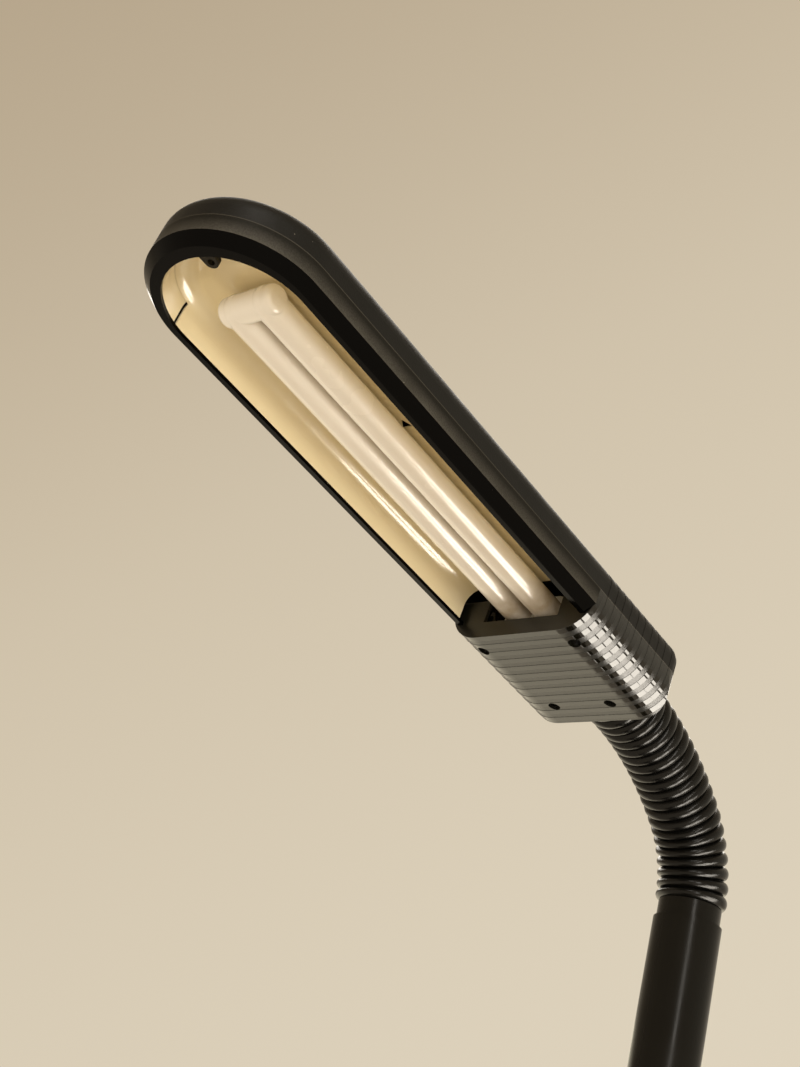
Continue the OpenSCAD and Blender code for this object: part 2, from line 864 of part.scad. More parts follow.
module reflector() {
    cut = flap_angle + asin(flap_gap / sheet_r);
    color(cream) in_head() difference() {
        union() {
            run(sheet_rear, shade_l) both() sheet_half(0);
            translate([shade_l, 0, 0]) rotate([0, 0, -90]) rotate_extrude(angle = 180) sheet_half(0);
        }
        translate([shade_l, 0, 0]) rotate([0, 0, -cut]) rotate_extrude(angle = 2 * cut)
            translate([flap_r - seat_gap, 0]) square([head_w, head_top]);
        translate([slot_at[0], slot_at[1], ceiling_z - 1]) cylinder(d = slot_d, h = sheet_t + 2, $fn = 3);
    }
}

module reflector_end() {
    color(cream) in_head() translate([shade_l, 0, 0]) difference() {
        rotate([0, 0, -flap_angle])
            rotate_extrude(angle = 2 * flap_angle) sheet_half(flap_r);
        translate([0, -lug_w / 2 - seat_gap, lug_z - seat_gap])
            cube([half_w, lug_w + 2 * seat_gap, head_top]);
    }
}

module lamp_holder() {
    floor_z = wall - housing_drop;
    body_low = tube_z - holder_h / 2;
    color(black) in_head() difference() {
        union() {
            translate([holder_front - holder_l, -holder_w / 2, body_low])
                cube([holder_l, holder_w, holder_h]);
            for (x = [holder_front - 5, holder_front - holder_l])
                translate([x, -holder_w / 2 + 6, floor_z + eps]) cube([5, holder_w - 12, body_low - floor_z]);
        }
        plug(plug_clear);
        pins(pin_clear);
        translate([holder_front - holder_l - 1, 0, parting_z]) rotate([0, 90, 0])
            cylinder(d = lead_d + 1, h = 4);
    }
}

module lamp_base() {
    color(white) in_head() difference() {
        union() {
            run(lamp_back, lamp_front)
                translate([0, tube_z]) round_rect(lamp_base_w, lamp_base_h, 6);
            plug(0);
        }
        for (side = [-1, 1])
            translate([lamp_front - tube_sink, side * tube_y, tube_z])
                rotate([0, 90, 0]) cylinder(d = tube_d + 0.2, h = tube_sink + 1);
        pins(0);
        pin_seats(eps);
    }
}

// The buried ends of the pins, or with a gap the holes for them in the lamp base
module pin_seats(gap) {
    for (side = [-1, 1])
        translate([lamp_back - eps, side * pin_spacing / 2, tube_z])
            rotate([0, 90, 0]) cylinder(d = pin_d + gap, h = eps + pin_seat + gap);
}

module lamp_pins() {
    color(brass) in_head() {
        pins(0);
        pin_seats(0);
    }
}

module lamp_tubes() {
    straight = tube_l - tube_d / 2;
    back = lamp_front - tube_sink + 0.1;
    color(glass) in_head() {
        for (side = [-1, 1])
            translate([0, side * tube_y, tube_z]) rotate([0, 90, 0]) {
                translate([0, 0, back]) cylinder(d = tube_d, h = straight - back);
                translate([0, 0, straight]) sphere(d = tube_d);
            }
        for (turn = [-90, 90])
            translate([straight, 0, tube_z]) rotate([turn, 0, 0]) rotate_extrude()
                round_half(bridge_d / 2, tube_y + tube_d / 2 - bridge_in, bridge_round, -eps);
    }
}

foot_pad();
base_plate();
base_screws();
base_shell();
choke();
counterweight();
terminal_block();
cord_inlet();
switch_body();
switch_rocker();
stem_flange();
flange_screws();
stem_bush();
stem_tube();
neck_collar();
neck_sleeve();
lamp_lead();
for (k = [1 : hinges - 1]) neck_link(k);
neck_socket();
socket_nut();
top_shell();
shade_rim();
bottom_cover();
cover_screws();
reflector();
reflector_end();
lamp_holder();
lamp_base();
lamp_pins();
lamp_tubes();
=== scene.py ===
"""Looks of a table lamp with a ribbed flexible neck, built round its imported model.

Lengths are metres in the model's frame: +Z up, +X the way the head points, +Y the lamp's left.
The head has its own frame: x from the housing's front edge to the tip, z up from the shade's rim.
"""

import json
import math

import bpy
from mathutils import Matrix, Vector


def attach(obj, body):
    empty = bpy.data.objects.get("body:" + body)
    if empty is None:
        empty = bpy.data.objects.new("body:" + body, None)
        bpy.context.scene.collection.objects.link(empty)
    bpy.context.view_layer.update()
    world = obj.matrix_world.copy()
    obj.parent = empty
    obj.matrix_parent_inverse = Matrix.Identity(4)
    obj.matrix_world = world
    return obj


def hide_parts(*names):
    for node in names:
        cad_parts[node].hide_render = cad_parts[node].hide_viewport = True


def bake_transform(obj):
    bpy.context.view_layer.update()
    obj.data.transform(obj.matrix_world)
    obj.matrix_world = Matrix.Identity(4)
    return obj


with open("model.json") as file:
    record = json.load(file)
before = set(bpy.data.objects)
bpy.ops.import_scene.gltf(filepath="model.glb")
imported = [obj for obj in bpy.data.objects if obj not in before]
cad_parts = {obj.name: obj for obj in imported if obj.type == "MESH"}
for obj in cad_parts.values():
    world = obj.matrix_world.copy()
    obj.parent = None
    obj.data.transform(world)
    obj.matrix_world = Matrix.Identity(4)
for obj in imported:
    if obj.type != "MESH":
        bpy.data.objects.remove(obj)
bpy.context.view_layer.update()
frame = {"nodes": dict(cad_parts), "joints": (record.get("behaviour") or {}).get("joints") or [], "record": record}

# The head's frame, from the joints
HOUSING_L = 0.071
NECK_Z = 0.012
LAST_BALL = 0.010
JOINTS = {joint["name"]: joint for joint in frame["joints"]}
HEAD_X = Vector(JOINTS["lamp_unplug"]["axis"]).normalized()
HEAD_Y = Vector((0, 1, 0))
HEAD_Z = HEAD_X.cross(HEAD_Y)
LAST_HINGE = Vector(JOINTS["neck_bend_6"]["pos_m"])
HEAD_AT = LAST_HINGE + HEAD_X * (HOUSING_L + LAST_BALL) - HEAD_Z * NECK_Z

# The neck's path: a tight bend from the collar, a slow bend and a straight end
STEM_X = -0.050
COLLAR_TOP = 0.2805
LOW_BEND_R, LOW_BEND = 0.050, math.radians(50)
HIGH_BEND_R, HIGH_BEND = 0.140, math.radians(32)
NECK_END = 0.011
LOW_L = LOW_BEND_R * LOW_BEND
HIGH_L = HIGH_BEND_R * HIGH_BEND
NECK_L = LOW_L + HIGH_L + NECK_END
FIRST_HINGE_S = 0.009
HINGE_STEP = (NECK_L - LAST_BALL - FIRST_HINGE_S) / 7  # from one of the eight hinges to the next

# The bodies from the base to the head, one hinge between each two
CHAIN = ["root"] + [f"link_{k}" for k in range(1, 8)] + ["head"]

# The sleeve
CREST_R = 0.0172
ROOT_R = 0.0140
BORE_R = 0.0124
RIBS = 21
SEAT_GAP = 0.00015
RIB_PITCH = (NECK_L - 2 * SEAT_GAP) / RIBS
SLEEVE_SIDES = 72
RINGS_PER_RIB = 12
# Grooves nearest the middles of the links, where the sleeve's pieces for one hinge end and the next begin
CUTS = [0, 3, 5, 8, 10, 13, 16, 18, RIBS]
STIFF = {3: 9, 4: 12, 6: 17, 7: 19}
# A barrel round each of these hinges closes the open groove from inside
BARREL_R, BARREL_WALL, BARREL_HALF = 0.0121, 0.0007, 0.007
BARREL_RINGS = 17

# The lead, from the terminal block up the stem to the collar, and its end in the lamp holder
LEAD_R = 0.002
LEAD_SIDES = 16
# Length of the lead on each side of a hinge that takes part in the bend
LEAD_BEND = 0.004
LEAD_LOW = [
    (-0.005, 0.01715), (-0.005, 0.020), (-0.011, 0.0255), (-0.036, 0.0255),
    (-0.047, 0.0305), (-0.050, 0.0435), (-0.050, 0.238), (-0.0492, 0.2755)]
LEAD_PAST_HINGE = 0.0297

# The reflector's rear edge in the head, and how much of it is left off
REFLECTOR_REAR = 0.002
REAR_TRIM = 0.0012

# The camera, in the head's frame, for a picture of 800 by 1067
CAMERA_AT = (0.4121, 0.3902, -0.3257)
CAMERA_AIM = (0.0530, -0.0335, 0.0118)
CAMERA_UP = (0.6020, 0.1188, 0.7896)
CAMERA_LENS = 67.57


def turn(direction):
    """A direction of the head's frame in the model's frame."""
    x, y, z = direction
    return x * HEAD_X + y * HEAD_Y + z * HEAD_Z


def in_head(place):
    """A place in the head's frame in the model's frame."""
    return HEAD_AT + turn(place)


def make_camera():
    data = bpy.data.cameras.new("camera")
    data.sensor_fit = "HORIZONTAL"
    data.sensor_width = 36
    data.lens = CAMERA_LENS
    camera = bpy.data.objects.new("camera", data)
    bpy.context.scene.collection.objects.link(camera)
    at = in_head(CAMERA_AT)
    back = (at - in_head(CAMERA_AIM)).normalized()
    right = turn(CAMERA_UP).cross(back).normalized()
    up = back.cross(right)
    camera.matrix_world = Matrix.Translation(at) @ Matrix((right, up, back)).transposed().to_4x4()
    bpy.context.scene.camera = camera


# Materials


class Finish:
    """A procedural material: a Principled shader with textures in the model's own coordinates."""

    def __init__(self, name, **sockets):
        self.material = bpy.data.materials.new(name)
        self.material.use_nodes = True
        self.tree = self.material.node_tree
        self.shader = self.tree.nodes["Principled BSDF"]
        for socket, value in sockets.items():
            self.shader.inputs[socket.replace("_", " ")].default_value = value
        self.place = self.node("ShaderNodeTexCoord").outputs["Object"]

    def node(self, kind, inputs=(), **settings):
        made = self.tree.nodes.new(kind)
        for setting, value in settings.items():
            setattr(made, setting, value)
        for socket, value in dict(inputs).items():
            if isinstance(value, bpy.types.NodeSocket):
                self.tree.links.new(value, made.inputs[socket])
            else:
                made.inputs[socket].default_value = value
        return made

    def wire(self, output, socket):
        self.tree.links.new(output, self.shader.inputs[socket])

    def noise(self, size, detail):
        """Noise whose blots are about size across, in metres."""
        inputs = {"Vector": self.place, "Scale": 1 / size, "Detail": detail}
        return self.node("ShaderNodeTexNoise", inputs).outputs["Fac"]

    def spread(self, value, low, high, to_low, to_high):
        """The value moved from one range to another, and held inside it."""
        ends = {"From Min": low, "From Max": high, "To Min": to_low, "To Max": to_high}
        return self.node("ShaderNodeMapRange", {"Value": value, **ends}).outputs[0]

    def mottle(self, size, detail, low, high):
        """Noise that goes from the one value to the other, each reached in its deeper blots."""
        return self.spread(self.noise(size, detail), 0.3, 0.7, low, high)

    def math(self, operation, first, second=0.0):
        return self.node("ShaderNodeMath", {0: first, 1: second}, operation=operation).outputs[0]

    def mix(self, share, first, second):
        """One colour to the other as share goes from 0 to 1."""
        made = self.node("ShaderNodeMix", data_type="RGBA")
        for socket, value in (("Factor_Float", share), ("A_Color", first), ("B_Color", second)):
            target = next(s for s in made.inputs if s.identifier == socket)
            if isinstance(value, bpy.types.NodeSocket):
                self.tree.links.new(value, target)
            else:
                target.default_value = value
        return next(s for s in made.outputs if s.identifier == "Result_Color")

    def specks(self, spacing, size, share):
        """1 inside small round specks, of which a share of the cells in a grid of spacing holds one."""
        cell = self.node("ShaderNodeTexVoronoi", {"Vector": self.place, "Scale": 1 / spacing})
        inside = self.math("LESS_THAN", cell.outputs["Distance"], size / spacing)
        chance = self.node("ShaderNodeSeparateColor", {"Color": cell.outputs["Color"]}).outputs[0]
        return self.math("MULTIPLY", inside, self.math("LESS_THAN", chance, share))

    def bump(self, *layers):
        """Bumps from pairs of a height and a depth in metres, one on the other."""
        normal = None
        for height, depth in layers:
            inputs = {"Height": height, "Distance": depth, "Strength": 1.0}
            if normal:
                inputs["Normal"] = normal
            normal = self.node("ShaderNodeBump", inputs).outputs["Normal"]
        self.wire(normal, "Normal")

    def in_head_along(self, axis):
        """Distance along an axis of the head from the head's origin, in metres."""
        offset = self.node("ShaderNodeVectorMath", {0: self.place, 1: HEAD_AT}, operation="SUBTRACT")
        inputs = {0: offset.outputs[0], 1: axis}
        return self.node("ShaderNodeVectorMath", inputs, operation="DOT_PRODUCT").outputs["Value"]


DUST = (0.30, 0.27, 0.22, 1)
# The housing's bands, and the heights in the head of the rim's chamfer, of the top of the painted sheen on its
# wall and of the parting line
BAND_PITCH = 0.006
CHAMFER_TOP = 0.0044
CHAMFER_MARGIN = 0.00005
PAINTED_SHEEN_TOP = 0.0105
PARTING_Z = 0.012
# Width and colour of a painted highlight along the ledge at the parting line
PARTING_HIGHLIGHT_W = 0.0003
PARTING_HIGHLIGHT = (0.055, 0.050, 0.040, 1)
# Distances in the head between which the tubes' browned ends fade out
BROWN_FROM, BROWN_TO = 0.002, 0.020


def black_plastic(name, dark, light, smooth, rough):
    """Satin black moulding with a fine spark texture, faint blotches and dust."""
    finish = Finish(name, Specular_IOR_Level=0.16)
    blotch = finish.noise(0.030, 4)
    grain = finish.noise(0.0006, 2)
    colour = finish.mix(blotch, dark, light)
    colour = finish.mix(finish.specks(0.006, 0.00016, 0.18), colour, DUST)
    finish.wire(colour, "Base Color")
    finish.wire(finish.mottle(0.012, 3, smooth, rough), "Roughness")
    finish.bump((grain, 0.00006))
    return finish


def rim_plastic():
    """Spark-textured wall, paler towards its lower edge with a painted sheen, over a polished black chamfer."""
    finish = Finish("rim_moulding", Specular_IOR_Level=0.07)
    height = finish.in_head_along(HEAD_Z)
    textured = finish.math("GREATER_THAN", height, CHAMFER_TOP - CHAMFER_MARGIN)
    grain = finish.noise(0.0006, 2)
    # Painted sheen: the wall gets paler towards its lower edge, standing in for the light that edge catches
    browning_and_painted_sheen = finish.spread(height, CHAMFER_TOP, PAINTED_SHEEN_TOP, 1, 0)
    browning_and_painted_sheen = finish.math("MULTIPLY", browning_and_painted_sheen, finish.spread(finish.noise(0.02, 4), 0.25, 0.75, 0.55, 1))
    speckled = finish.spread(grain, 0.35, 0.65, 0.7, 1.2)
    plain = finish.mix(speckled, (0.006, 0.0055, 0.004, 1), (0.012, 0.011, 0.0085, 1))
    wall = finish.mix(finish.math("MULTIPLY", browning_and_painted_sheen, speckled), plain, (0.072, 0.067, 0.056, 1))
    colour = finish.mix(textured, (0.0008, 0.0008, 0.0008, 1), wall)
    # Painted highlight: a pale line along the wall's top edge, at the parting line
    colour = finish.mix(finish.math("GREATER_THAN", height, PARTING_Z - PARTING_HIGHLIGHT_W), colour, PARTING_HIGHLIGHT)
    colour = finish.mix(finish.specks(0.006, 0.00016, 0.22), colour, DUST)
    finish.wire(colour, "Base Color")
    finish.wire(finish.spread(textured, 0, 1, 0.16, 0.48), "Roughness")
    finish.bump((finish.math("MULTIPLY", grain, textured), 0.00006))
    return finish


def banded_plastic():
    """Moulding with gloss bands on its raised ribs and matt bands between them."""
    finish = Finish("banded_moulding")
    step = finish.math("FRACT", finish.math("MULTIPLY", finish.in_head_along(HEAD_X), -1 / BAND_PITCH))
    matt = finish.math("GREATER_THAN", step, 0.5)
    grain = finish.noise(0.0005, 2)
    colour = finish.mix(finish.noise(0.02, 4), (0.0060, 0.0055, 0.0038, 1), (0.0095, 0.009, 0.0065, 1))
    # Painted highlight: a pale line along the housing's top edge, at the parting line
    parting_highlight = finish.math("GREATER_THAN", finish.in_head_along(HEAD_Z), PARTING_Z - PARTING_HIGHLIGHT_W)
    colour = finish.mix(parting_highlight, colour, PARTING_HIGHLIGHT)
    finish.wire(finish.mix(finish.specks(0.007, 0.00014, 0.15), colour, DUST), "Base Color")
    finish.wire(finish.spread(matt, 0, 1, 0.06, 0.30), "Roughness")
    finish.bump((finish.math("MULTIPLY", grain, matt), 0.00004))
    return finish


def cream_enamel():
    finish = Finish("cream_enamel", Coat_Weight=0.5, Coat_Roughness=0.06)
    colour = finish.mix(finish.noise(0.05, 3), (0.87, 0.765, 0.515, 1), (0.91, 0.80, 0.55, 1))
    finish.wire(colour, "Base Color")
    finish.wire(finish.mottle(0.01, 2, 0.16, 0.26), "Roughness")
    finish.bump((finish.noise(0.008, 2), 0.00003))
    return finish


def coated_glass():
    """White coating behind clear glass, browned towards the lamp's base."""
    finish = Finish("coated_glass", Coat_Weight=0.3, Coat_Roughness=0.05)
    browning_and_painted_sheen = finish.spread(finish.in_head_along(HEAD_X), BROWN_FROM, BROWN_TO, 1, 0)
    browning_and_painted_sheen = finish.math("MULTIPLY", browning_and_painted_sheen, finish.spread(finish.noise(0.006, 3), 0.2, 0.8, 0.5, 1))
    colour = finish.mix(finish.noise(0.03, 3), (0.83, 0.78, 0.70, 1), (0.87, 0.82, 0.74, 1))
    finish.wire(finish.mix(browning_and_painted_sheen, colour, (0.30, 0.23, 0.14, 1)), "Base Color")
    finish.wire(finish.mottle(0.02, 2, 0.22, 0.28), "Roughness")
    finish.bump((finish.noise(0.012, 1), 0.00002))
    return finish


def black_paint():
    finish = Finish("black_paint", Specular_IOR_Level=0.15)
    colour = finish.mix(finish.noise(0.04, 4), (0.006, 0.0056, 0.0045, 1), (0.009, 0.0083, 0.0065, 1))
    finish.wire(finish.mix(finish.specks(0.008, 0.00016, 0.15), colour, DUST), "Base Color")
    finish.wire(finish.mottle(0.02, 3, 0.20, 0.27), "Roughness")
    finish.bump((finish.noise(0.0012, 2), 0.00002))
    return finish


def rubber(name, dark, light, smooth, rough):
    finish = Finish(name, Specular_IOR_Level=0.25)
    finish.wire(finish.mix(finish.noise(0.010, 4), dark, light), "Base Color")
    finish.wire(finish.mottle(0.006, 3, smooth, rough), "Roughness")
    finish.bump((finish.noise(0.0008, 2), 0.00003))
    return finish


def pale_plastic(name, dark, light):
    finish = Finish(name)
    finish.wire(finish.mix(finish.noise(0.015, 3), dark, light), "Base Color")
    finish.wire(finish.mottle(0.008, 2, 0.34, 0.44), "Roughness")
    finish.bump((finish.noise(0.0009, 2), 0.00002))
    return finish


def metal(name, dark, light, smooth, rough, grain, depth):
    finish = Finish(name, Metallic=1.0)
    finish.wire(finish.mix(finish.noise(0.012, 4), dark, light), "Base Color")
    finish.wire(finish.mottle(0.004, 3, smooth, rough), "Roughness")
    finish.bump((finish.noise(grain, 3), depth))
    return finish


# Nodes whose finish isn't the plain one of their slot
OWN_FINISH = {"shade_rim": "rim_moulding"}


def make_finishes():
    """One finish for each material slot of the record, and those of OWN_FINISH."""
    made = {
        "black_moulding": black_plastic(
            "black_moulding", (0.005, 0.0047, 0.0037, 1), (0.008, 0.0075, 0.006, 1), 0.42, 0.52),
        "rim_moulding": rim_plastic(),
        "banded_moulding": banded_plastic(),
        "cream_enamel": cream_enamel(),
        "coated_glass": coated_glass(),
        "black_paint": black_paint(),
        "sleeve_rubber": rubber(
            "sleeve_rubber", (0.003, 0.003, 0.0025, 1), (0.0055, 0.005, 0.0042, 1), 0.20, 0.27),
        "pad_rubber": rubber("pad_rubber", (0.018, 0.018, 0.018, 1), (0.03, 0.03, 0.03, 1), 0.6, 0.75),
        "white_moulding": pale_plastic("white_moulding", (0.70, 0.67, 0.58, 1), (0.78, 0.75, 0.66, 1)),
        "lead_sheath": pale_plastic("lead_sheath", (0.66, 0.65, 0.6, 1), (0.72, 0.71, 0.66, 1)),
        "plated_steel": metal(
            "plated_steel", (0.55, 0.55, 0.56, 1), (0.66, 0.66, 0.68, 1), 0.25, 0.4, 0.0015, 0.00003),
        "link_steel": metal(
            "link_steel", (0.16, 0.16, 0.17, 1), (0.26, 0.26, 0.27, 1), 0.4, 0.55, 0.0010, 0.00004),
        "core_iron": metal(
            "core_iron", (0.10, 0.10, 0.105, 1), (0.16, 0.155, 0.15, 1), 0.45, 0.6, 0.0010, 0.00005),
        "weight_iron": metal(
            "weight_iron", (0.16, 0.16, 0.165, 1), (0.25, 0.24, 0.23, 1), 0.6, 0.75, 0.0020, 0.00015),
        "pin_brass": metal(
            "pin_brass", (0.62, 0.44, 0.18, 1), (0.72, 0.53, 0.24, 1), 0.22, 0.34, 0.0010, 0.00002),
    }
    return {slot: finish.material for slot, finish in made.items()}


def dress(pieces, materials):
    """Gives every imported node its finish."""
    for entry in frame["record"]["subparts"]:
        mesh = pieces[entry["node"]].data
        mesh.materials.clear()
        mesh.materials.append(materials[OWN_FINISH.get(entry["node"], entry["material_slot"])])


# Ribbed sleeve, lead and reflector


def neck_angle(s):
    """How far the neck has turned from upright at a distance s from the collar."""
    if s < LOW_L:
        return max(s, 0) / LOW_BEND_R
    return LOW_BEND + min(s - LOW_L, HIGH_L) / HIGH_BEND_R


def neck_point(s):
    """The place on the neck's axis at a distance s from the collar."""
    a = neck_angle(s)
    if s < LOW_L:
        x, z = LOW_BEND_R * (1 - math.cos(a)), LOW_BEND_R * math.sin(a) + min(s, 0)
    else:
        x = LOW_BEND_R * (1 - math.cos(LOW_BEND)) + HIGH_BEND_R * (math.cos(LOW_BEND) - math.cos(a))
        z = LOW_BEND_R * math.sin(LOW_BEND) + HIGH_BEND_R * (math.sin(a) - math.sin(LOW_BEND))
        past = max(s - LOW_L - HIGH_L, 0)
        x, z = x + past * math.sin(a), z + past * math.cos(a)
    return Vector((STEM_X + x, 0, COLLAR_TOP + z))


def tube(name, rings, sides, material, looped=True):
    """A closed mesh on rings, each a place, two directions across it and a radius.

    Looped, the last ring joins the first; otherwise both ends are capped.
    """
    points = [
        place + radius * (math.cos(a) * u + math.sin(a) * v)
        for place, u, v, radius in rings
        for a in (2 * math.pi * k / sides for k in range(sides))]
    count = len(points)
    faces = [
        (i + k, i + (k + 1) % sides, (i + sides + (k + 1) % sides) % count, (i + sides + k) % count)
        for i in range(0, count if looped else count - sides, sides) for k in range(sides)]
    if not looped:
        faces += [tuple(reversed(range(sides))), tuple(range(count - sides, count))]
    mesh = bpy.data.meshes.new(name)
    mesh.from_pydata(points, [], faces)
    mesh.shade_smooth()
    mesh.materials.append(material)
    piece = bpy.data.objects.new(name, mesh)
    bpy.context.scene.collection.objects.link(piece)
    return piece


def neck_ring(s, radius):
    a = neck_angle(s)
    return neck_point(s), Vector((math.cos(a), 0, -math.sin(a))), HEAD_Y, radius


def rib_radius(share):
    """Radius at a share of the way along one rib: a round bead between two narrow grooves."""
    return ROOT_R + (CREST_R - ROOT_R) * math.sqrt(max(0, 1 - (2 * share - 1) ** 2))


def sleeve_tube(name, rings, material):
    piece = tube(name, rings, SLEEVE_SIDES, material)
    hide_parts("neck_sleeve")
    return piece


def ribs(name, first, last, material):
    """A length of the sleeve from one of its grooves to another."""
    steps = [(1 - math.cos(math.pi * i / RINGS_PER_RIB)) / 2 for i in range(RINGS_PER_RIB)]
    stations = [(rib + step, rib_radius(step)) for rib in range(first, last) for step in steps]
    stations.append((last, ROOT_R))
    outside = [neck_ring(SEAT_GAP + place * RIB_PITCH, radius) for place, radius in stations]
    bore = [neck_ring(SEAT_GAP + rib * RIB_PITCH, BORE_R) for rib in range(last, first - 1, -1)]
    return sleeve_tube(name, outside + bore, material)


def barrel(name, hinge, material):
    """A thin round barrel about a hinge."""
    place, across, aside, _ = neck_ring(hinge, 0)
    along = aside.cross(across)
    steps = [BARREL_HALF * (2 * i / (BARREL_RINGS - 1) - 1) for i in range(BARREL_RINGS)]
    outside = [(place + s * along, across, aside, math.sqrt(BARREL_R ** 2 - s * s)) for s in steps]
    inside = [(at, u, v, radius - BARREL_WALL) for at, u, v, radius in reversed(outside)]
    return sleeve_tube(name, outside + inside, material)


def make_sleeve(material):
    """The sleeve in pieces that follow the neck's links, one or more at each hinge."""
    for k, (first, last) in enumerate(zip(CUTS, CUTS[1:])):
        hinge = FIRST_HINGE_S + k * HINGE_STEP
        if k in STIFF:
            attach(ribs(f"sleeve_{k + 1}a", first, STIFF[k], material), CHAIN[k])
            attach(ribs(f"sleeve_{k + 1}b", STIFF[k], last, material), CHAIN[k + 1])
            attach(barrel(f"sleeve_{k + 1}c", hinge, material), CHAIN[k + 1])
        else:
            piece = ribs(f"sleeve_{k + 1}", first, last, material)
            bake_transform(piece)


def lead_piece(name, line, material):
    """A length of the lead along a line of places in the lamp's middle plane."""
    rings = []
    for k, place in enumerate(line):
        along = (line[min(k + 1, len(line) - 1)] - line[max(k - 1, 0)]).normalized()
        rings.append((place, HEAD_Y, along.cross(HEAD_Y), LEAD_R))
    piece = tube(name, rings, LEAD_SIDES, material, looped=False)
    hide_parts("lamp_lead")
    return piece


def make_lead(material):
    """The lead: one length in the base and the stem, and one across each hinge of the neck."""
    low = [Vector((x, 0, z)) for x, z in LEAD_LOW]
    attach(lead_piece("lead_0", low, material), CHAIN[0])
    hinges = [neck_point(FIRST_HINGE_S + k * HINGE_STEP) for k in range(len(CHAIN) - 1)]
    stops = [low[-1]] + hinges + [hinges[-1] + LEAD_PAST_HINGE * HEAD_X]
    for k, hinge in enumerate(hinges):
        before, after = stops[k] - hinge, stops[k + 2] - hinge
        # To halfway between two hinges, but all the way at both ends of the neck
        first = hinge + before * (0.5 if k else 1)
        last = hinge + after * (0.5 if k < len(hinges) - 1 else 1)
        if k in STIFF:
            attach(lead_piece(f"lead_{k + 1}a", [first, hinge], material), CHAIN[k])
            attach(lead_piece(f"lead_{k + 1}b", [hinge, last], material), CHAIN[k + 1])
        else:
            bend = [hinge + LEAD_BEND * before.normalized(), hinge, hinge + LEAD_BEND * after.normalized()]
            piece = lead_piece(f"lead_{k + 1}", [first, *bend, last], material)
            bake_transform(piece)


def make_reflector():
    """The reflector with its rear edge out of the lamp's way, for when the lamp is drawn out."""
    node = frame["nodes"]["reflector"]
    mesh = node.data.copy()
    for vertex in mesh.vertices:
        vertex.co = node.matrix_world @ vertex.co
        if (vertex.co - HEAD_AT).dot(HEAD_X) < REFLECTOR_REAR + REAR_TRIM / 10:
            vertex.co += REAR_TRIM * HEAD_X
    piece = bpy.data.objects.new("reflector_sheet", mesh)
    bpy.context.scene.collection.objects.link(piece)
    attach(piece, CHAIN[-1])
    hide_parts("reflector")


materials = make_finishes()
dress(frame["nodes"], materials)
make_reflector()
make_sleeve(materials["sleeve_rubber"])
make_lead(materials["lead_sheath"])


# Light, floor and background

WARM_WHITE = (1.0, 0.95, 0.87)
BOARD_TINT = (1.0, 0.93, 0.70)

# Places that the lights aim at
HEAD_MIDDLE = in_head((0.09, 0, 0.01))
HOUSING_EDGE = in_head((-0.035, 0.033, -0.003))
HOUSING_UNDER = in_head((-0.035, 0, -0.008))
TIP_WALL = in_head((0.22, 0.02, 0.01))
STEM_MIDDLE = (STEM_X, 0, 0.2)
LAMP_MIDDLE = (0.05, 0, 0.25)

WINDOW_WHITE = (1.0, 0.93, 0.82)
WINDOW_FAR = 0.36
# How much of the way to the window runs back along the head, and how much across it
WINDOW_BACK, WINDOW_ASIDE = 0.68, 0.73
# Each pane's lower and upper edge as a turn from straight down, its two ends, and its radiance
WINDOW_PANES = [
    (-16.5, -15.5, -0.06, 0.06, 8), (12, 37.5, -0.06, 0.17, 16), (40, 66, -0.06, 0.17, 16),
    (72, 80, -0.06, 0.035, 15)]


def group(name, pieces):
    made = bpy.data.collections.new(name)
    for piece in pieces:
        made.objects.link(piece)
    return made


# What the lights near the lamp fall on: not the floor, and the window only on the head and the neck
pieces = [piece for piece in bpy.context.scene.objects if piece.type == "MESH"]
lamp = group("lamp", pieces)
NO_WINDOW = ["shade_rim", "neck_collar", "stem_tube", "stem_bush", "base_shell", "switch_body",
             "switch_rocker"]
no_window = [frame["nodes"][name] for name in NO_WINDOW]
mirrors = group("mirrors", [piece for piece in pieces if piece not in no_window])


def area(name, place, aim, size, radiance, colour, shine=True, diffuse=True, up=None, on=lamp):
    """A rectangle of light that faces aim, with its height along up, for gloss, matt surfaces or both."""
    data = bpy.data.lights.new(name, "AREA")
    data.shape = "RECTANGLE"
    data.size, data.size_y = size
    data.energy = radiance * math.pi * size[0] * size[1]
    data.color = colour
    light = bpy.data.objects.new(name, data)
    back = (Vector(place) - Vector(aim)).normalized()
    across = Vector(up or (0, 0, 1)).cross(back).normalized()
    turned = Matrix((across, back.cross(across), back)).transposed().to_4x4()
    light.matrix_world = Matrix.Translation(place) @ turned
    light.visible_camera = False
    light.visible_glossy = shine
    light.visible_diffuse = diffuse
    light.light_linking.receiver_collection = on
    bpy.context.scene.collection.objects.link(light)


def make_window():
    """Panes low behind the lamp's left, seen in its gloss bands, its tubes and the ribs of its neck."""
    for k, (low, high, first, last, radiance) in enumerate(WINDOW_PANES):
        middle, half = math.radians((low + high) / 2), math.radians((high - low) / 2)
        away = turn((-WINDOW_BACK, WINDOW_ASIDE * math.sin(middle), -WINDOW_ASIDE * math.cos(middle)))
        rise = turn((0, math.cos(middle), math.sin(middle)))
        across = away.cross(rise).normalized()
        place = HOUSING_EDGE + WINDOW_FAR * away + (first + last) / 2 * across
        size = (last - first, 2 * WINDOW_FAR * math.tan(half * WINDOW_ASIDE))
        area(
            f"pane_{k + 1}", place, place - away, size, radiance, WINDOW_WHITE, diffuse=False, up=rise,
            on=mirrors)


FLOOR_REACH = 30.0
# How much paler the floor looks than the light on it makes it, and in what tint
FLOOR_LIFT, FLOOR_TINT = 0.19, (0.96, 0.95, 0.92, 1)


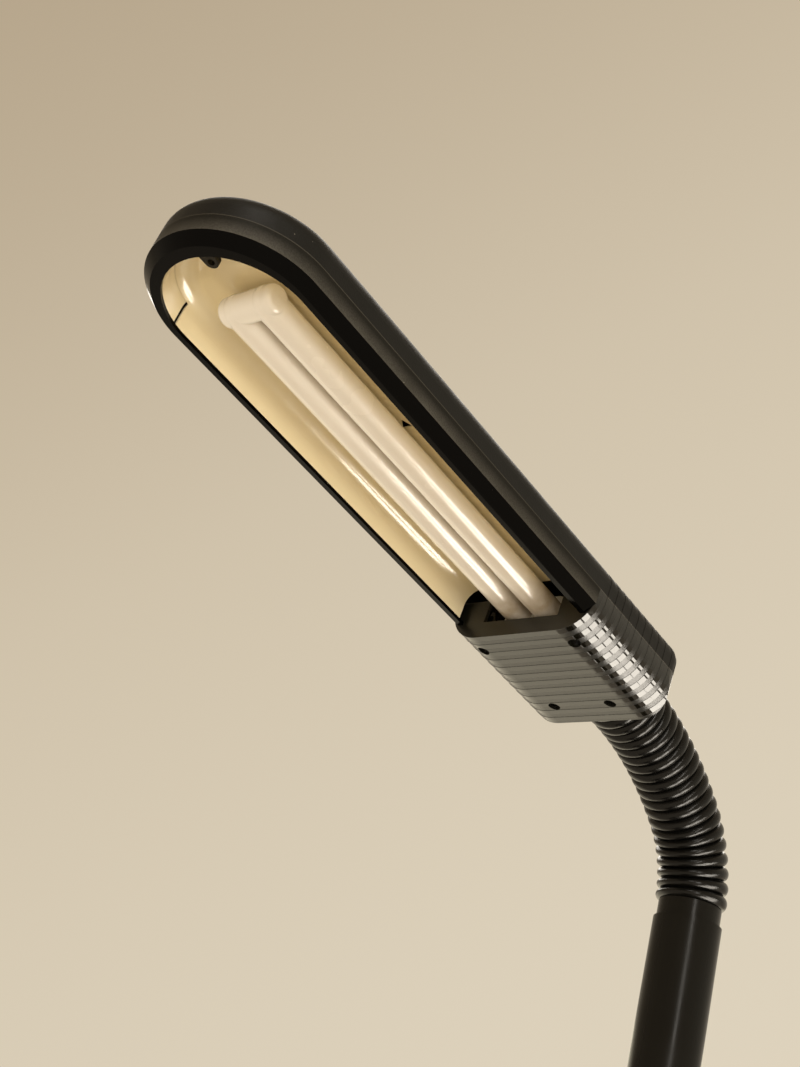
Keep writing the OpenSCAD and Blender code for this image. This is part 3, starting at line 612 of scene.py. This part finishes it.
def make_floor():
    mesh = bpy.data.meshes.new("floor")
    corners = [(-1, -1), (1, -1), (1, 1), (-1, 1)]
    points = [(x * FLOOR_REACH, y * FLOOR_REACH, 0) for x, y in corners]
    mesh.from_pydata(points, [], [(0, 1, 2, 3)])
    finish = Finish("floor", Roughness=0.7, Emission_Color=FLOOR_TINT)
    colour = finish.mix(finish.noise(0.5, 2), (0.86, 0.80, 0.69, 1), (0.89, 0.83, 0.72, 1))
    finish.wire(colour, "Base Color")
    path = finish.node("ShaderNodeLightPath").outputs
    seen = finish.math("MAXIMUM", path["Is Camera Ray"], path["Is Glossy Ray"])
    finish.wire(finish.math("MULTIPLY", seen, FLOOR_LIFT), "Emission Strength")
    mesh.materials.append(finish.material)
    floor = bpy.data.objects.new("floor", mesh)
    bpy.context.scene.collection.objects.link(floor)


# The direction in which the wall darkens, how far to each side, and its colours with their places on it
WALL_DARKENS = (0.71, -0.23, 0.67)
WALL_SPAN = 0.5
WALL_LIGHT_AT, WALL_LIGHT = 0.0, (0.76, 0.68, 0.54, 1)
WALL_MIDDLE_AT, WALL_MIDDLE = 0.55, (0.65, 0.56, 0.42, 1)
WALL_DARK_AT, WALL_DARK = 0.95, (0.42, 0.33, 0.22, 1)


def make_world():
    """A warm wall that darkens upwards and to one side, and lights the lamp softly."""
    world = bpy.data.worlds.new("world")
    bpy.context.scene.world = world
    world.use_nodes = True
    tree = world.node_tree
    direction = tree.nodes.new("ShaderNodeTexCoord").outputs["Generated"]
    height = tree.nodes.new("ShaderNodeVectorMath")
    height.operation = "DOT_PRODUCT"
    tree.links.new(direction, height.inputs[0])
    height.inputs[1].default_value = WALL_DARKENS
    share = tree.nodes.new("ShaderNodeMapRange")
    tree.links.new(height.outputs["Value"], share.inputs["Value"])
    share.inputs["From Min"].default_value = -WALL_SPAN
    share.inputs["From Max"].default_value = WALL_SPAN
    ramp = tree.nodes.new("ShaderNodeValToRGB")
    ramp.color_ramp.interpolation = "B_SPLINE"
    stops = ramp.color_ramp.elements
    stops[0].position, stops[0].color = WALL_LIGHT_AT, WALL_LIGHT
    stops[1].position, stops[1].color = WALL_DARK_AT, WALL_DARK
    middle = stops.new(WALL_MIDDLE_AT)
    middle.color = WALL_MIDDLE
    tree.links.new(share.outputs[0], ramp.inputs["Fac"])
    tree.links.new(ramp.outputs["Color"], tree.nodes["Background"].inputs["Color"])


def make_lights():
    """Soft lights on matt surfaces, and strips and boards that only gloss shows."""
    matt, gloss = {"shine": False}, {"diffuse": False}
    area("fill", (0.70, 0.75, 0.05), HEAD_MIDDLE, (0.8, 0.8), 5.4, WARM_WHITE, **matt)
    area("room", (0.9, 1.0, 1.3), HEAD_MIDDLE, (1.2, 1.2), 1.8, WARM_WHITE, **matt, on=None)
    board_at = HOUSING_UNDER + turn((-0.34, -0.302, -0.204))
    area("board", board_at, HOUSING_UNDER, (0.8, 0.5), 1.0, BOARD_TINT, **gloss)
    area("bounce", in_head((0.1, -0.55, -0.40)), HEAD_MIDDLE, (0.7, 0.7), 4.0, WARM_WHITE, **matt)
    area("sheen", in_head((0.90, 0.37, 0.64)), TIP_WALL, (0.3, 0.3), 8.0, WARM_WHITE, **gloss)
    area("sky", (-0.5, -0.7, 1.3), LAMP_MIDDLE, (1.3, 1.3), 3.0, WARM_WHITE)
    area("strip", (0.67, 0.80, 0.45), STEM_MIDDLE, (0.11, 0.8), 10.0, WARM_WHITE, **gloss)


bpy.context.scene.view_settings.view_transform = "Standard"
make_camera()
make_window()
make_floor()
make_world()
make_lights()
